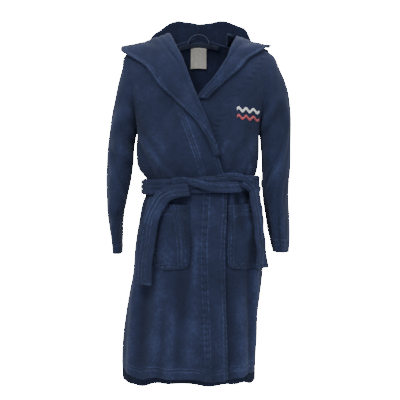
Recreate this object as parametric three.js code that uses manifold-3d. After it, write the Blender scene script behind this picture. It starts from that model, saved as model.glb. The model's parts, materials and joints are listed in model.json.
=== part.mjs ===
// Hooded towelling bathrobe, hanging closed and tied at the waist.
// Millimetres, +Z up, the front faces -Y and the wearer's left is +X.
// The cloth of every panel is a thick sheet laid on one body surface, the "shell", at its own lift.
import * as THREE from 'three';
import Module from 'manifold-3d';
import { ParametricGeometry } from 'three/addons/geometries/ParametricGeometry.js';
import { mergeGeometries, mergeVertices } from 'three/addons/utils/BufferGeometryUtils.js';

const wasm = await Module();
wasm.setup();

// ---------------------------------------------------------------- driving dimensions
const GAP = 0.4; // between pieces that touch
const WALL = 3.5; // thickness of the towelling
const TRIM = 2; // thickness of tapes, label and stitching

const SHOULDER = 190; // centre line to the top of the armhole
const SHOULDER_TOP = 14; // height of the shoulder line at the centre
const SHOULDER_SLOPE = 0.33; // drop of the shoulder line for each millimetre outwards
const SHOULDER_ROUND = 110; // how far below its line the shoulder turns into the chest
const SECTION_POWER = 2.5; // 2 is an ellipse, more is squarer

const ARMPIT = -262; // heights, from the back neck seam
const WAIST = -418;
const FRONT_HEM = -946;
const BACK_HEM = -972;
const HEM_RISE = 34; // the hem climbs this much towards the side seams

const CHEST_SIDE = 166; // centre line to side seam at the armpit
const CHEST_DEPTH = 110; // half the depth from front to back
const WAIST_RIGHT = 133;
const WAIST_LEFT = 148;
const WAIST_DEPTH = 91;
const HIP = -560;
const HIP_RIGHT = 167;
const HIP_LEFT = 177;
const HEM_RIGHT = 210;
const HEM_LEFT = 157;
const HEM_DEPTH = 104;

const NECK_HALF = 76; // centre line to the side of the neck opening
const NECK_BACK = 54; // how far behind the shoulder line the back neck seam lies
const NECK_V = -194; // height of the point where the two fronts cross
const FRONT_EDGE = 67; // the upper front's free edge, past the centre line
const UNDER_EDGE = -48; // the lower front's hidden edge
const OVERLAP_LIFT = 10; // how far the upper front stands off where it lies on the lower one
const FACING = 55; // width of the facings inside the front edges
const FLAP_HINGE = -16; // the upper front folds open about this line, below the belt

const CUFF = { right: -604, left: -600 }; // height of the sleeves' ends
const SLEEVE_DEPTH = 62; // half the sleeve's depth from front to back
const SLEEVE_START = 3.5; // clearance of the sleeve from its armhole

const HOOD_DROP = 300; // from the neck seam down the back to the hood's fold
const HOOD_HALF = 150; // centre seam to the end of the hood on the shoulder
const HOOD_RIM = 56; // how far the hood's rim stands off the back at the centre
const HOOD_CLEAR = 4; // the hood's inner layer above the back panel
const LAPEL_TIP = 182; // centre line to the outer corner of the lapel on the shoulder

const RIGHT_POCKET = { outer: 7 - WAIST_RIGHT, inner: 109 - WAIST_RIGHT }; // upright edges, from the centre line
const LEFT_POCKET = { outer: WAIST_LEFT + 8, inner: FRONT_EDGE + 13 }; // clear of the upper front
const POCKET_HEIGHT = 168;
const POCKET_TOP = -474;
const POCKET_ROOM = 16; // depth of the pocket inside
const POCKET_CLEAR = 0.8; // its sewn edges above the front
const POCKET_HEM = 10; // sides and bottom of a pocket slope in to the front over this width

const BELT_WIDTH = 36;
const BELT_THICK = 4.5;
const BELT_LIFT = 15; // inside of the belt above the shell
const BELT_FLAT = 26; // the waist is straight for this far above and below the belt's middle
const BELT_TILT = 0.04; // the belt climbs towards the wearer's left
const TAIL_LIFT = 38; // the hanging ends pass outside the pockets
const LOOP_WIDTH = 14;
const LOOP_CLEAR = 6; // ends of the belt loops above the side seam

const LABEL = { width: 44, height: 56 };
const HANGER = { half: 30, rise: 26, width: 8 };
const MOTIF = { from: CHEST_SIDE - 64, to: CHEST_SIDE - 6, waves: 3, tilt: 0.08, raise: 1.2 };

// ---------------------------------------------------------------- small helpers
const RIGHT = -1; // the wearer's right side, at -X
const LEFT = 1;
const { lerp, smoothstep, clamp } = THREE.MathUtils;

// Straight lines through [at, value] pairs, listed by falling height.
function along(stations, at) {
  if (at >= stations[0][0]) return stations[0][1];
  for (let i = 1; i < stations.length; i++) {
    const [z0, a] = stations[i - 1];
    const [z1, b] = stations[i];
    if (at >= z1) return lerp(a, b, (at - z0) / (z1 - z0));
  }
  return stations[stations.length - 1][1];
}

// The step down is the wider one, so that it bridges the lifted surface's corner at the waist.
function normalOf(at, u, v, closed) {
  const [stepU, stepV] = [1e-3, 4e-3];
  const [u0, u1] = closed ? [u - stepU, u + stepU] : [Math.max(0, u - stepU), Math.min(1, u + stepU)];
  const [v0, v1] = [Math.max(0, v - stepV), Math.min(1, v + stepV)];
  const du = at(u1, v).sub(at(u0, v));
  const dv = at(u, v1).sub(at(u, v0));
  return du.cross(dv).normalize();
}

// A thick sheet between two lifts of the surface at(u, v), whose u x v points outwards.
// A closed sheet is a tube: its u runs all the way round.
function cloth(at, columns, rows, { from = 0, to = WALL, closed = false, mirrored = false } = {}) {
  const surface = mirrored ? (u, v) => at(1 - u, v) : at;
  const lifted = (u, v, lift) =>
    surface(u, v).addScaledVector(normalOf(surface, u, v, closed), lift);
  const patch = (place, slices, stacks) =>
    new ParametricGeometry((s, t, target) => target.copy(place(s, t)), slices, stacks);
  const patches = [
    patch((u, v) => lifted(u, v, to), columns, rows),
    patch((u, v) => lifted(1 - u, v, from), columns, rows),
    patch((u, t) => lifted(u, 0, lerp(from, to, t)), columns, 1),
    patch((u, t) => lifted(1 - u, 1, lerp(from, to, t)), columns, 1),
  ];
  if (!closed) {
    patches.push(
      patch((v, t) => lifted(0, 1 - v, lerp(from, to, t)), rows, 1),
      patch((v, t) => lifted(1, v, lerp(from, to, t)), rows, 1),
    );
  }
  const merged = mergeGeometries(patches);
  merged.deleteAttribute('normal');
  merged.deleteAttribute('uv');
  return mergeVertices(merged, 1e-3);
}

function toSolid(geometry) {
  const mesh = new wasm.Mesh({
    numProp: 3,
    vertProperties: new Float32Array(geometry.attributes.position.array),
    triVerts: new Uint32Array(geometry.index.array),
  });
  return new wasm.Manifold(mesh);
}

function toGeometry(solid) {
  const mesh = solid.getMesh();
  const geometry = new THREE.BufferGeometry();
  geometry.setAttribute('position', new THREE.BufferAttribute(mesh.vertProperties, 3));
  geometry.setIndex(new THREE.BufferAttribute(mesh.triVerts, 1));
  return geometry;
}

const robe = new THREE.Group();

function piece(name, geometry, { color = NAVY, roughness = 0.95 } = {}) {
  geometry.computeVertexNormals();
  const material = new THREE.MeshStandardMaterial({ color, roughness, metalness: 0 });
  const mesh = new THREE.Mesh(geometry, material);
  mesh.name = name;
  robe.add(mesh);
}

const NAVY = 0x2c3654;
const NAVY_TAPE = 0x27304b;
const LABEL_WHITE = 0xd9d7cf;
const THREAD_WHITE = 0xe8e6e0;
const THREAD_RED = 0xa8333c;

// ---------------------------------------------------------------- the shell
// Half widths and half depth of the horizontal section, by height.
const rightSide = [
  [-60, SHOULDER + 24], [-160, SHOULDER + 8], [ARMPIT, CHEST_SIDE], [-346, CHEST_SIDE - 1],
  [WAIST + BELT_FLAT, WAIST_RIGHT], [WAIST - BELT_FLAT, WAIST_RIGHT],
  [HIP, HIP_RIGHT], [BACK_HEM, HEM_RIGHT],
];
const leftSide = [
  [-60, SHOULDER + 24], [-160, SHOULDER + 8], [ARMPIT, CHEST_SIDE], [-346, CHEST_SIDE - 4],
  [WAIST + BELT_FLAT, WAIST_LEFT], [WAIST - BELT_FLAT, WAIST_LEFT], [WAIST - 48, WAIST_LEFT + 16],
  [HIP, HIP_LEFT], [BACK_HEM, HEM_LEFT],
];
const depths = [
  [0, CHEST_DEPTH - 14], [ARMPIT, CHEST_DEPTH],
  [WAIST + BELT_FLAT, WAIST_DEPTH], [WAIST - BELT_FLAT, WAIST_DEPTH], [BACK_HEM, HEM_DEPTH],
];

const shoulderLine = (x) => SHOULDER_TOP - SHOULDER_SLOPE * Math.hypot(x, 15);
const SHOULDER_REF = shoulderLine(SHOULDER / 2);
const QUARTER = (SHOULDER_ROUND * Math.PI) / 2;

// The run is measured from the shoulder line: negative down the front, positive down the back.
function heightAt(x, run) {
  const length = Math.abs(run);
  const turn = Math.min(length, QUARTER) / SHOULDER_ROUND;
  const straight = Math.max(0, length - QUARTER);
  const fade = 1 - smoothstep(length, 0, QUARTER + 70);
  return SHOULDER_REF - SHOULDER_ROUND * (1 - Math.cos(turn)) - straight + (shoulderLine(x) - SHOULDER_REF) * fade;
}

function shell(x, run) {
  const z = heightAt(x, run);
  const right = along(rightSide, z);
  const left = along(leftSide, z);
  const centre = (left - right) / 2;
  const share = Math.min(1, Math.abs(x - centre) / ((left + right) / 2));
  const depth = along(depths, z) * (1 - share ** SECTION_POWER) ** (1 / SECTION_POWER);
  const turn = Math.min(Math.abs(run), QUARTER) / SHOULDER_ROUND;
  return new THREE.Vector3(x, Math.sign(run) * depth * Math.sin(turn), z);
}

function onShell(x, run, lift) {
  const e = 0.05;
  const across = shell(x + e, run).sub(shell(x - e, run));
  const down = shell(x, run + e).sub(shell(x, run - e));
  return shell(x, run).addScaledVector(across.cross(down).normalize(), lift);
}

// The run that reaches height z at x, on the front (-1) or the back (+1).
function runAt(x, z, face) {
  let [low, high] = [0, 1200];
  for (let i = 0; i < 30; i++) {
    const middle = (low + high) / 2;
    if (heightAt(x, middle) > z) low = middle;
    else high = middle;
  }
  return (face * (low + high)) / 2;
}

// The place across the section at share t between two edges, closer together near a side seam.
function across(z, from, to, t) {
  const right = along(rightSide, z);
  const left = along(leftSide, z);
  const centre = (left - right) / 2;
  const half = (left + right) / 2;
  const angle = (x) => {
    const share = clamp((x - centre) / half, -1, 1);
    return Math.asin(Math.sign(share) * Math.abs(share) ** (SECTION_POWER / 2));
  };
  const turned = Math.sin(lerp(angle(from), angle(to), t));
  return centre + half * Math.sign(turned) * Math.abs(turned) ** (2 / SECTION_POWER);
}

// ---------------------------------------------------------------- edges of the pieces, as x by height
const neckRun = SHOULDER_ROUND * Math.asin(NECK_BACK / (CHEST_DEPTH - 14)); // run of the back neck seam
const hoodTop = (share) => neckRun + 26 * share * share; // where the hood starts, centre to side
const armhole = (z) => lerp(SHOULDER, CHEST_SIDE, clamp((z - armTop) / (ARMPIT - armTop), 0, 1));
const armTop = shoulderLine(SHOULDER);
const SEAM = 0.0003; // what a side seam leaves between front and back
const side = (z, toward) => {
  const seam = along(toward === RIGHT ? rightSide : leftSide, z) - SEAM;
  return toward * Math.min(seam, z > ARMPIT ? armhole(z) - GAP : seam);
};

// The V neck and the free edges of the two fronts.
const upperEdge = [
  [-12, -80], [-86, -45], [-143, -23], [NECK_V, -3], [-270, 27], [-338, 50],
  [WAIST + 26, FRONT_EDGE], [FRONT_HEM, FRONT_EDGE + 8],
];
const lowerEdge = [
  [-19, 104], [-84, 76], [-130, 47], [-167, 15], [NECK_V, -3], [ARMPIT, UNDER_EDGE], [BACK_HEM, UNDER_EDGE],
];
const rightLapelEdge = [
  [-52, -LAPEL_TIP], [-72, -168], [-90, -147], [-128, -116], [-177, -72], [-242, -8], [-296, 27], [-334, 42],
];
const leftLapelEdge = [
  [-50, LAPEL_TIP], [-64, 161], [-81, 139], [-120, 92], [-166, 42], [NECK_V + 8, 14],
];

// Every sheet on the shell has its rows at these runs, so that sheets on each other stay parallel.
const rowRuns = [
  12, 30, 52, 78, 108, 140, 175,
  ...[-211, ARMPIT, -304, -346, WAIST + BELT_FLAT, WAIST - BELT_FLAT, WAIST - 48, -510, HIP, -660, -770, -870]
    .map((z) => runAt(0, z, 1)),
];

// A sheet laid on the shell between two edges, from one run to another, at a lift.
function laid({ edges, start, end, lift = () => 0, columns, wall = WALL }) {
  const clear = 8; // the end rows keep this far from the shared ones
  const shared = [...rowRuns.map((run) => -run).reverse(), ...rowRuns];
  const inner = shared.filter((run) => run > start(0.5) + clear && run < end(0.5) - clear);
  const rows = inner.length + 1;
  const at = (u, v) => {
    const stops = [start(u), ...inner, end(u)];
    const row = Math.min(rows - 1, Math.floor(v * rows));
    const run = lerp(stops[row], stops[row + 1], v * rows - row);
    let x = 0;
    let z = heightAt(x, run);
    for (let i = 0; i < 6; i++) {
      const [from, to] = edges(z, run);
      x = across(z, from, to, u);
      z = heightAt(x, run);
    }
    return onShell(x, run, lift(x, z, u, v));
  };
  return cloth(at, columns, rows, { to: wall });
}

// Where the upper front lies on the lower one, it stands off by one more layer.
const overlap = (x, z) => OVERLAP_LIFT * smoothstep(x - along(lowerEdge, z), -62, -16);

// The hem is lowest in the middle and climbs to the side seams.
const hemRun = (height) => (u) => {
  const rise = HEM_RISE * Math.abs(2 * u - 1) ** 3;
  return Math.abs(runAt(0, height + rise, 1));
};

// ---------------------------------------------------------------- body panels
function backPanel() {
  // The top edge follows the shoulder seams and dips behind the neck.
  const seam = 0.6;
  const start = (u) => {
    const x = Math.abs(lerp(-SHOULDER, SHOULDER, u));
    return seam + neckRun * (1 - smoothstep(x, NECK_HALF - 10, NECK_HALF + 6));
  };
  const edges = (z) => [side(z, RIGHT), side(z, LEFT)];
  return laid({ edges, start, end: hemRun(BACK_HEM), columns: 24 });
}

function rightFrontWhole() {
  const edges = (z) => [side(z, RIGHT), along(upperEdge, z)];
  const hem = hemRun(FRONT_HEM);
  const start = (u) => -hem(u / 2 + (0.15 * u));
  return laid({ edges, start, end: () => -0.6, lift: overlap, columns: 12 });
}

function leftFront() {
  const edges = (z) => [along(lowerEdge, z), side(z, LEFT)];
  const hem = hemRun(FRONT_HEM);
  const start = (u) => -hem(0.4 + 0.6 * u);
  return laid({ edges, start, end: () => -0.6, columns: 12 });
}

// The part of the upper front that folds open: right of its hinge line, below the belt.
const FLAP_TOP = WAIST - BELT_WIDTH / 2 - 14;
function flapBlock(inset) {
  const outline = new THREE.Shape([
    new THREE.Vector2(FLAP_HINGE + inset, FLAP_TOP - inset),
    new THREE.Vector2(FLAP_HINGE + inset, BACK_HEM - 60),
    new THREE.Vector2(HEM_RIGHT, BACK_HEM - 60),
    new THREE.Vector2(HEM_RIGHT, FLAP_TOP - inset),
  ]);
  const block = new THREE.ExtrudeGeometry(outline, { depth: 2 * CHEST_DEPTH, bevelEnabled: false });
  block.rotateX(Math.PI / 2);
  block.deleteAttribute('normal');
  block.deleteAttribute('uv');
  return toSolid(mergeVertices(block, 1e-3));
}

const rightFront = toSolid(rightFrontWhole());
piece('back_panel', backPanel());
piece('right_front', toGeometry(rightFront.subtract(flapBlock(0))));
piece('right_front_flap', toGeometry(rightFront.intersect(flapBlock(GAP))));
piece('left_front', leftFront());

// ---------------------------------------------------------------- facings inside the front edges
const UNDER_LEFT_FRONT = -TRIM - 2.5;
const UNDER_RIGHT_FRONT = OVERLAP_LIFT - TRIM - 1.6;

function facing({ edge, width, top, bottom, lift }) {
  const edges = (z) => {
    const x = along(edge, z) - Math.sign(width) * 1.5;
    return width > 0 ? [x - width, x] : [x, x - width];
  };
  const start = () => runAt(0, bottom, -1);
  const end = () => runAt(0, top, -1);
  return laid({ edges, start, end, lift: () => lift, columns: 4, wall: TRIM });
}

piece('right_front_facing', facing({
  edge: upperEdge, width: FACING, top: -236, bottom: FLAP_TOP + 4, lift: UNDER_RIGHT_FRONT,
}), { color: NAVY_TAPE });
piece('right_flap_facing', facing({
  edge: upperEdge, width: FACING, top: FLAP_TOP - 4, bottom: FRONT_HEM + 12, lift: UNDER_RIGHT_FRONT,
}), { color: NAVY_TAPE });
piece('left_front_facing', facing({
  edge: lowerEdge, width: -FACING, top: -206, bottom: FRONT_HEM + 12, lift: UNDER_LEFT_FRONT,
}), { color: NAVY_TAPE });

// ---------------------------------------------------------------- sleeves
// Outer and inner outline of each hanging sleeve, as distance from the centre by height.
const sleeves = {
  right_sleeve: {
    toward: RIGHT, cuff: CUFF.right,
    outer: [[armTop, SHOULDER + SLEEVE_START], [-62, 204], [-135, 221], [-240, 241], [-367, 255],
      [-508, 250], [-604, 238]],
    inner: [[ARMPIT, CHEST_SIDE + SLEEVE_START + 2], [-308, 175], [-364, 180], [-427, 190], [-508, 205],
      [-604, 210]],
  },
  left_sleeve: {
    toward: LEFT, cuff: CUFF.left,
    outer: [[armTop, SHOULDER + SLEEVE_START], [-62, 208], [-130, 239], [-200, 254], [-367, 254],
      [-440, 248], [-500, 252], [-600, 250]],
    inner: [[ARMPIT, CHEST_SIDE + SLEEVE_START + 2], [-320, 173], [-437, 175], [-521, 187], [-572, 197],
      [-600, 204]],
  },
};

function sleeve({ toward, cuff, outer, inner }) {
  const at = (u, v) => {
    const turn = 2 * Math.PI * u;
    const reach = 1 - v; // 0 at the armhole, 1 at the cuff
    const inward = (1 - Math.cos(turn)) / 2; // 0 on the outside of the arm, 1 against the body
    const outerZ = lerp(armTop, cuff, reach);
    const innerZ = lerp(ARMPIT, cuff, reach);
    const x = lerp(along(outer, outerZ), along(inner, innerZ), inward);
    const z = lerp(outerZ, innerZ, inward);
    const holeZ = lerp(armTop, ARMPIT, inward);
    const hole = Math.abs(shell(toward * armhole(holeZ), runAt(toward * armhole(holeZ), holeZ, 1)).y);
    const fore = Math.sin(turn);
    const round = fore * SLEEVE_DEPTH;
    const start = Math.abs(fore) < 1e-9 ? 0 : Math.sign(fore) * hole;
    return new THREE.Vector3(toward * x, -lerp(start, round, smoothstep(reach, 0, 0.3)), z);
  };
  return cloth(at, 16, 12, { from: -WALL, to: 0, closed: true, mirrored: toward === LEFT });
}

for (const [name, shape] of Object.entries(sleeves)) piece(name, sleeve(shape));

// ---------------------------------------------------------------- lapels and hood
const ON_FRONT = WALL + 3.4;

// Each lapel runs from its tip on the chest over the shoulder to the ends of the hood.
function lapel(toward) {
  const edge = toward === RIGHT ? rightLapelEdge : leftLapelEdge;
  const roll = toward === RIGHT ? upperEdge : lowerEdge;
  const tip = edge[edge.length - 1][0];
  const outerBehind = (run) => lerp(LAPEL_TIP, HOOD_HALF, clamp(run / neckRun, 0, 1));
  const outward = (u) => (toward === RIGHT ? 1 - u : u);
  const end = (u) => hoodTop(lerp(NECK_HALF, HOOD_HALF, outward(u)) / HOOD_HALF) - 4;
  const edges = (z, run) => {
    const rolled = run > 0 ? toward * (NECK_HALF + 3) : along(roll, z);
    const outer = run > 0 ? toward * outerBehind(run) : along(edge, z);
    return toward === RIGHT ? [outer, rolled] : [rolled, outer];
  };
  const lift = (x, z) => ON_FRONT + (toward === RIGHT ? overlap(x, z) : 0);
  const start = () => runAt(toward * 40, tip, -1);
  return laid({ edges, start, end, lift, columns: 6 });
}

// The hood hangs open down the back: one layer lies on the back panel, turns at the fold and
// comes up again to the free rim. Lengths are runs down the back, from the neck seam.
function hoodHalf(toward) {
  const at = (u, v) => {
    const x = toward * lerp(GAP, HOOD_HALF, u);
    const top = hoodTop(u) + 1;
    const fold = lerp(neckRun + HOOD_DROP, top + 60, u ** 2.2);
    const down = 1 - Math.abs(2 * v - 1); // 0 at the seam and the rim, 1 at the fold
    const rim = lerp(HOOD_RIM, 16, u * u);
    const back = smoothstep(v, 0.42, 0.58) * lerp(rim, 12, down ** 0.7);
    return onShell(x, lerp(top, fold, down), WALL + HOOD_CLEAR + back);
  };
  return cloth(at, 8, 14, { mirrored: toward === RIGHT });
}

piece('right_lapel', lapel(RIGHT));
piece('left_lapel', lapel(LEFT));
piece('right_hood', hoodHalf(RIGHT));
piece('left_hood', hoodHalf(LEFT));

// ---------------------------------------------------------------- pockets
// A pocket is a sheet held off the front, sloping in to it at the sides and the bottom.
function pocket({ outer, inner }, base) {
  const [low, high] = [Math.min(outer, inner), Math.max(outer, inner)];
  const at = (u, v) => {
    const x = lerp(low, high, u);
    const z = lerp(POCKET_TOP - POCKET_HEIGHT, POCKET_TOP, v);
    const fromEdge = Math.min(x - low, high - x, POCKET_HEIGHT * v);
    const open = smoothstep(fromEdge, 0, POCKET_HEM);
    return onShell(x, runAt(x, z, -1), base(x, z) + WALL + POCKET_CLEAR + POCKET_ROOM * open);
  };
  return cloth(at, 10, 8);
}

piece('right_pocket', pocket(RIGHT_POCKET, overlap));
piece('left_pocket', pocket(LEFT_POCKET, () => 0));

// ---------------------------------------------------------------- belt, tie, loops
const beltHeight = (x) => WAIST + BELT_TILT * x;

function belt() {
  const at = (u, v) => {
    const turn = 2 * Math.PI * u;
    const [right, left] = [along(rightSide, WAIST), along(leftSide, WAIST)];
    const half = (left + right) / 2 + BELT_LIFT;
    const round = (value) => Math.sign(value) * Math.abs(value) ** (2 / SECTION_POWER);
    const x = (left - right) / 2 - half * round(Math.cos(turn));
    const y = -(WAIST_DEPTH + BELT_LIFT) * round(Math.sin(turn));
    return new THREE.Vector3(x, y, beltHeight(x) + lerp(-0.5, 0.5, v) * BELT_WIDTH);
  };
  return cloth(at, 40, 2, { to: BELT_THICK, closed: true });
}

// The tie is the stretch of belt that passes over the waistband and holds it.
const TIE = { from: 97 - WAIST_RIGHT, to: WAIST_LEFT - 56, bulge: 9 };
function tie() {
  const at = (u, v) => {
    const x = lerp(TIE.from, TIE.to, u);
    const turn = lerp(-0.5, 0.5, v) * Math.PI;
    const z = beltHeight(x) + Math.sin(turn) * (BELT_WIDTH / 2 + 4);
    const lift = BELT_LIFT + BELT_THICK + 1 + Math.cos(turn) * TIE.bulge;
    return onShell(x, runAt(x, beltHeight(x), -1), lift).setZ(z);
  };
  return cloth(at, 8, 8, { to: WALL });
}

// A hanging belt end: a ribbon whose middle line goes through [x, z, lift] places.
function tail(places) {
  const line = new THREE.CatmullRomCurve3(places.map(([x, z, lift]) => new THREE.Vector3(x, z, lift)));
  const at = (u, v) => {
    const middle = line.getPoint(1 - v);
    const ahead = line.getTangent(1 - v);
    const x = middle.x - ((u - 0.5) * BELT_WIDTH * ahead.y) / Math.hypot(ahead.x, ahead.y);
    const z = middle.y + ((u - 0.5) * BELT_WIDTH * ahead.x) / Math.hypot(ahead.x, ahead.y);
    return onShell(x, runAt(x, z, -1), middle.z);
  };
  return cloth(at, 4, 14, { to: BELT_THICK });
}

const TIE_FRONT = BELT_LIFT + BELT_THICK + TIE.bulge + WALL + 3;
const rightTailRoute = [
  [75 - WAIST_RIGHT, WAIST - 12, TIE_FRONT], [41 - WAIST_RIGHT, WAIST - 46, TAIL_LIFT],
  [21 - WAIST_RIGHT, WAIST - 88, TAIL_LIFT], [11 - WAIST_RIGHT, WAIST - 150, TAIL_LIFT],
  [5 - WAIST_RIGHT, WAIST - 212, TAIL_LIFT], [3 - WAIST_RIGHT, WAIST - 268, TAIL_LIFT],
];
const leftTailRoute = [
  [WAIST_LEFT - 32, WAIST + 8, TIE_FRONT - 6], [WAIST_LEFT - 21, WAIST - 20, TIE_FRONT - 4],
  [WAIST_LEFT - 17, WAIST - 60, TAIL_LIFT - 8], [WAIST_LEFT - 15, WAIST - 120, TAIL_LIFT - 8],
  [WAIST_LEFT - 14, WAIST - 170, TAIL_LIFT - 8], [WAIST_LEFT - 14, WAIST - 220, TAIL_LIFT - 8],
];

function beltLoop(toward) {
  const at = (u, v) => {
    const turn = lerp(-0.5, 0.5, v) * Math.PI;
    const seam = along(toward === RIGHT ? rightSide : leftSide, WAIST);
    const z = beltHeight(toward * seam) + Math.sin(turn) * (BELT_WIDTH / 2 + 12);
    const near = along(toward === RIGHT ? rightSide : leftSide, z) + WALL + LOOP_CLEAR;
    const far = seam + BELT_LIFT + BELT_THICK + 2;
    const out = lerp(near, far, Math.cos(turn) ** 0.5);
    return new THREE.Vector3(toward * out, -toward * (u - 0.5) * LOOP_WIDTH, z);
  };
  return cloth((u, v) => at(1 - u, v), 1, 10, { to: TRIM });
}

piece('belt_waist', belt());
piece('belt_tie', tie());
piece('right_belt_tail', tail(rightTailRoute));
piece('left_belt_tail', tail(leftTailRoute));
piece('right_belt_loop', beltLoop(RIGHT));
piece('left_belt_loop', beltLoop(LEFT));

// ---------------------------------------------------------------- neck: tape, label and hanger loop
function inside({ half, from, to, lift, columns, rows }) {
  const at = (u, v) => onShell(lerp(-half, half, u), lerp(from, to, v), lift);
  return cloth(at, columns, rows, { to: TRIM });
}

const TAPE = { half: NECK_HALF - 20, width: 16 };
const INSIDE_NECK = -TRIM - 1.5;

// The loop stands up from the tape in an arch, as it does on a hook.
const loopFoot = onShell(0, neckRun + TAPE.width / 2, INSIDE_NECK).sub(new THREE.Vector3(0, HANGER.width + 4, 0));
function hangerLoop() {
  const at = (u, v) => {
    const turn = Math.PI * (1 - v);
    const sideways = -HANGER.half * Math.cos(turn);
    return new THREE.Vector3(sideways, HANGER.width * (u - 0.5), HANGER.rise * Math.sin(turn)).add(loopFoot);
  };
  return cloth(at, 1, 12, { to: TRIM });
}

piece('neck_tape', inside({
  half: TAPE.half, from: neckRun + 2, to: neckRun + TAPE.width, lift: INSIDE_NECK - 1, columns: 12, rows: 2,
}), { color: NAVY_TAPE });
piece('size_label', inside({
  half: LABEL.width / 2, from: neckRun + TAPE.width + 3, to: neckRun + TAPE.width + 3 + LABEL.height,
  lift: INSIDE_NECK - 1.5, columns: 4, rows: 6,
}), { color: LABEL_WHITE, roughness: 0.7 });
piece('hanger_loop', hangerLoop(), { color: NAVY_TAPE });

// ---------------------------------------------------------------- chest motif: two stitched waves
function wave({ height, crest, thick }) {
  const at = (u, v) => {
    const x = lerp(MOTIF.from, MOTIF.to, u);
    const swing = crest * Math.sin(2 * Math.PI * MOTIF.waves * u);
    const z = height - MOTIF.tilt * (x - MOTIF.from) + swing + thick * (v - 0.5);
    return onShell(x, runAt(x, z, -1), WALL + GAP);
  };
  return cloth(at, 8 * MOTIF.waves, 1, { to: MOTIF.raise });
}

piece('motif_upper_wave', wave({ height: -214, crest: 4, thick: 6 }), { color: THREAD_WHITE, roughness: 0.6 });
piece('motif_lower_wave', wave({ height: -234, crest: 4, thick: 6 }), { color: THREAD_RED, roughness: 0.6 });

// The origin is where the hook bears: under the top of the hanger loop.
robe.position.set(0, -loopFoot.y, -(loopFoot.z + HANGER.rise));

export default robe;
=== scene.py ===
# %% [markdown]
# # A hooded towelling bathrobe, sewn from numpy surfaces
# The robe is soft, so almost nothing in it is a plain solid. Each piece of cloth is a grid of points
# worked out by a formula, given a thickness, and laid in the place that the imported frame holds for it.
# Lengths in the tables are millimetres, because cloth is cut in millimetres; meshes are in metres.

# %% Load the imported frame
import bpy
import numpy as np
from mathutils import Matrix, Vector
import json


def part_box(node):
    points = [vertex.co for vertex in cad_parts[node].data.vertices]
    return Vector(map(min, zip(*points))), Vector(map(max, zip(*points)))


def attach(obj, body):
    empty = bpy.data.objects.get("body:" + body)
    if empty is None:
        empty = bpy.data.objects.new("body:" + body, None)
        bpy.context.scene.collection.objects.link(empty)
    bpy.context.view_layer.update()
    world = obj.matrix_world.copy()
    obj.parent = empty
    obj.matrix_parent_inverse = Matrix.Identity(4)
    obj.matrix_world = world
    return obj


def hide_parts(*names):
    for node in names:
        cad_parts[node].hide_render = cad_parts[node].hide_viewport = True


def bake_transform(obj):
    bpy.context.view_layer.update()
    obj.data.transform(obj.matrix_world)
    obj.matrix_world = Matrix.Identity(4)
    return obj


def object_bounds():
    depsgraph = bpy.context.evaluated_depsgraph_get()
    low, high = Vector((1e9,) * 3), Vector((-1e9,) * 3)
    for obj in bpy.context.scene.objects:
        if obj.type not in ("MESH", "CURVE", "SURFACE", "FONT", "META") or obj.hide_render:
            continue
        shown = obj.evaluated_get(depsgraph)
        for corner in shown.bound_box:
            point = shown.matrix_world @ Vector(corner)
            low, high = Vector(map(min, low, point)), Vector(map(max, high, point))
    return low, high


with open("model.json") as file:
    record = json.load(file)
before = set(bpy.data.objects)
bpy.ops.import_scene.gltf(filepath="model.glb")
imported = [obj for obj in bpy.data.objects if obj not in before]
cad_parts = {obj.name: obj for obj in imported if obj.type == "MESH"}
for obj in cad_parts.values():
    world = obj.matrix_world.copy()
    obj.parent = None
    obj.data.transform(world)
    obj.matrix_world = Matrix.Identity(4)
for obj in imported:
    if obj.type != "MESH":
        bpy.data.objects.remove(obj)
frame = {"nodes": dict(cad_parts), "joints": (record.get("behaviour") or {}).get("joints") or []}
cad_box = [list(corner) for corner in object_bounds()]
MM = 0.001
print("nodes in the frame:", len(frame["nodes"]))

# %% [markdown]
# ## Where the robe hangs
# The frame's origin is under the hanger loop. The cutting tables below measure from the centre line, the
# side seams and the back neck seam instead, so one shift takes them to the frame. The sleeves are
# centred front to back, and the back hem is the lowest cloth, so their boxes give the shift.

# %% The shift from the cutting tables to the frame
BACK_HEM, FRONT_HEM, HEM_RISE = -972, -946, 34
sleeve_box, back_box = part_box("right_sleeve"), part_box("back_panel")
SHIFT = np.array([0, (sleeve_box[0].y + sleeve_box[1].y) / 2, back_box[0].z - BACK_HEM * MM])
print("shift, mm:", np.round(SHIFT / MM, 1))

# %% [markdown]
# ## Lines that bend smoothly
# A pattern cutter marks a few places and draws a fair curve through them. `fair` does the same with
# cubic pieces: the slope at each mark is the slope of the marks round it.

# %% Fair curves and soft steps
def fair(marks):
    """A function through [at, value] marks: on each span the cubic with the marks' own slopes."""
    at, value = np.array(sorted(marks), float).T
    slope = np.gradient(value, at) if len(at) > 2 else np.full(2, np.diff(value) / np.diff(at))

    def read(x):
        x = np.clip(x, at[0], at[-1])
        i = np.clip(np.searchsorted(at, x) - 1, 0, len(at) - 2)
        span = at[i + 1] - at[i]
        t = (x - at[i]) / span
        start = (1 + 2 * t) * (1 - t) ** 2 * value[i] + t * (1 - t) ** 2 * span * slope[i]
        return start + t**2 * (3 - 2 * t) * value[i + 1] + t**2 * (t - 1) * span * slope[i + 1]

    return read


def step(x, low, high):
    """0 below low, 1 above high, and 3t^2 - 2t^3 between."""
    t = np.clip((x - low) / (high - low), 0, 1)
    return t * t * (3 - 2 * t)


def mix(a, b, t):
    """The value at share t of the way from a to b."""
    return a + (b - a) * t


# %% [markdown]
# ## The shell: the body that the cloth hangs on
# Every panel lies on one surface, a barrel whose level sections are superellipses: fuller than an
# ellipse at the sides. Over the shoulders a quarter turn joins the front to the back. A place on it is
# x, across, and the run: how far down the cloth from the shoulder line, negative down the front.

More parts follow.
